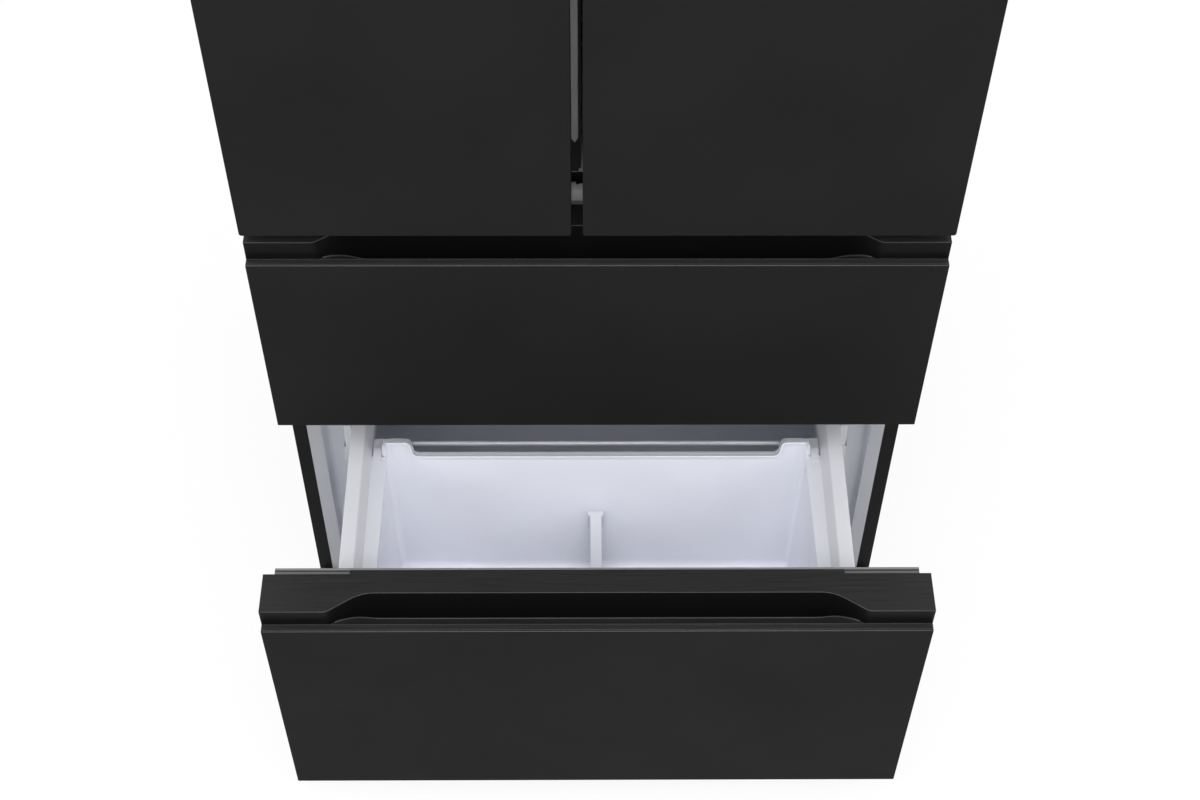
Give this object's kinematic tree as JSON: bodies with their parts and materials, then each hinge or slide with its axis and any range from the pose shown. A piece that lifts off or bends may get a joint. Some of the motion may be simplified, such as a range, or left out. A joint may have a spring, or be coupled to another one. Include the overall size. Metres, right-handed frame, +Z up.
{
  "type": "multi-door refrigerator",
  "caption": "Free-standing refrigerator-freezer with French doors over pull-out drawers, handleless fronts with finger pockets, and a freezer drawer shown open.",
  "frame": {"origin": "on the floor, under the middle of the whole object with its freezer drawer out as in the picture", "axes": "+Z up, +X to the right as seen from the front, +Y from the doors to the back"},
  "size_m": [0.817, 0.994, 1.779],
  "materials": {
    "front_finish": "satin",
    "handle_finish": "satin",
    "case_paint": "satin",
    "back_sheet": "satin",
    "liner_plastic": "satin",
    "door_liner_plastic": "satin",
    "bin_plastic": "satin",
    "door_bin_plastic": "satin",
    "seal_rubber": "matte",
    "flap_plastic": "satin",
    "black_plastic": "matte",
    "roller_plastic": "matte",
    "rail_steel": "satin",
    "foam": "matte",
    "shelf_glass": "gloss",
    "lamp_plastic": "satin",
    "compressor_paint": "satin",
    "copper_tube": "satin",
    "fin_aluminium": "satin"
  },
  "bodies": {
    "cabinet": {"cabinet_shell": "case_paint", "back_panel": "back_sheet", "base_pan": "back_sheet", "cabinet_foam": "foam", "fridge_liner": "liner_plastic", "middle_liner": "liner_plastic", "freezer_liner": "liner_plastic", "upper_crossbar": "case_paint", "lower_crossbar": "case_paint", "kick_plate": "black_plastic", "top_hinges": "case_paint", "centre_hinges": "case_paint", "hinge_covers": "black_plastic", "compressor": "compressor_paint", "condenser_coil": "copper_tube", "condenser_fan_shroud": "black_plastic", "machine_cover": "back_sheet", "drain_pan": "black_plastic", "evaporator": "fin_aluminium", "evaporator_cover": "liner_plastic", "air_duct": "liner_plastic", "lamp_lens": "lamp_plastic", "power_inlet": "black_plastic", "glass_shelf_upper": "shelf_glass", "glass_shelf_lower": "shelf_glass", "middle_outer_rails": "rail_steel", "freezer_outer_rails": "rail_steel"},
    "left_door": {"left_door_skin": "front_finish", "left_door_liner": "door_liner_plastic", "left_door_gasket": "seal_rubber", "left_door_bin_upper": "door_bin_plastic", "left_door_bin_lower": "door_bin_plastic"},
    "right_door": {"right_door_skin": "front_finish", "right_door_liner": "door_liner_plastic", "right_door_gasket": "seal_rubber", "right_door_bin_upper": "door_bin_plastic", "right_door_bin_lower": "door_bin_plastic"},
    "flap": {"mullion_flap": "flap_plastic"},
    "middle_drawer": {"middle_front_skin": "front_finish", "middle_front_core": "door_liner_plastic", "middle_handle_cap": "handle_finish", "middle_gasket": "seal_rubber", "middle_side_frames": "bin_plastic", "middle_bin": "bin_plastic"},
    "middle_slides": {"middle_mid_rails": "rail_steel"},
    "freezer_drawer": {"freezer_front_skin": "front_finish", "freezer_front_core": "door_liner_plastic", "freezer_handle_cap": "handle_finish", "freezer_gasket": "seal_rubber", "freezer_side_frames": "bin_plastic", "freezer_cross_bar": "bin_plastic", "freezer_bin": "bin_plastic", "freezer_divider": "bin_plastic"},
    "freezer_slides": {"freezer_mid_rails": "rail_steel"},
    "condenser_fan_wheel": {"condenser_fan": "black_plastic"},
    "evaporator_fan_wheel": {"evaporator_fan": "black_plastic"},
    "rear_left_roller": {"rear_roller_left": "roller_plastic"},
    "rear_right_roller": {"rear_roller_right": "roller_plastic"},
    "front_left_foot": {"front_foot_left": "black_plastic"},
    "front_right_foot": {"front_foot_right": "black_plastic"}
  },
  "joints": [
    {"name": "left_door_swing", "type": "hinge", "parent": "cabinet", "child": "left_door", "pos_m": [-0.388, -0.173, 1.29], "axis": [0, 0, -1], "range_deg": [0, 105]},
    {"name": "right_door_swing", "type": "hinge", "parent": "cabinet", "child": "right_door", "pos_m": [0.388, -0.173, 1.29], "axis": [0, 0, 1], "range_deg": [0, 105]},
    {"name": "flap_fold", "type": "hinge", "parent": "left_door", "child": "flap", "pos_m": [-0.076, -0.135, 1.29], "axis": [0, 0, 1], "range_deg": [0, 90]},
    {"name": "middle_drawer_slide", "type": "slide", "parent": "cabinet", "child": "middle_drawer", "axis": [0, -1, 0], "range_m": [0, 0.38]},
    {"name": "middle_slides_follow", "type": "slide", "parent": "cabinet", "child": "middle_slides", "axis": [0, -1, 0], "range_m": [0, 0.19]},
    {"name": "freezer_drawer_slide", "type": "slide", "parent": "cabinet", "child": "freezer_drawer", "axis": [0, -1, 0], "range_m": [-0.279, 0.051]},
    {"name": "freezer_slides_follow", "type": "slide", "parent": "cabinet", "child": "freezer_slides", "axis": [0, -1, 0], "range_m": [-0.1395, 0.0255]},
    {"name": "condenser_fan_spin", "type": "hinge", "parent": "cabinet", "child": "condenser_fan_wheel", "pos_m": [0.035, 0.3845, 0.132], "axis": [1, 0, 0], "continuous": true},
    {"name": "evaporator_fan_spin", "type": "hinge", "parent": "cabinet", "child": "evaporator_fan_wheel", "pos_m": [0, 0.347, 0.38], "axis": [0, 1, 0], "continuous": true},
    {"name": "rear_left_roller_turn", "type": "hinge", "parent": "cabinet", "child": "rear_left_roller", "pos_m": [-0.33, 0.437, 0.013], "axis": [1, 0, 0], "continuous": true},
    {"name": "rear_right_roller_turn", "type": "hinge", "parent": "cabinet", "child": "rear_right_roller", "pos_m": [0.33, 0.437, 0.013], "axis": [1, 0, 0], "continuous": true},
    {"name": "front_left_foot_turn", "type": "hinge", "parent": "cabinet", "child": "front_left_foot", "pos_m": [-0.33, -0.103, 0.015], "axis": [0, 0, 1], "range_deg": [-1080, 1080]},
    {"name": "front_right_foot_turn", "type": "hinge", "parent": "cabinet", "child": "front_right_foot", "pos_m": [0.33, -0.103, 0.015], "axis": [0, 0, 1], "range_deg": [-1080, 1080]}
  ],
  "couplings": [
    {"joint": "middle_slides_follow", "follows": "middle_drawer_slide", "ratio": 0.5},
    {"joint": "freezer_slides_follow", "follows": "freezer_drawer_slide", "ratio": 0.5}
  ]
}
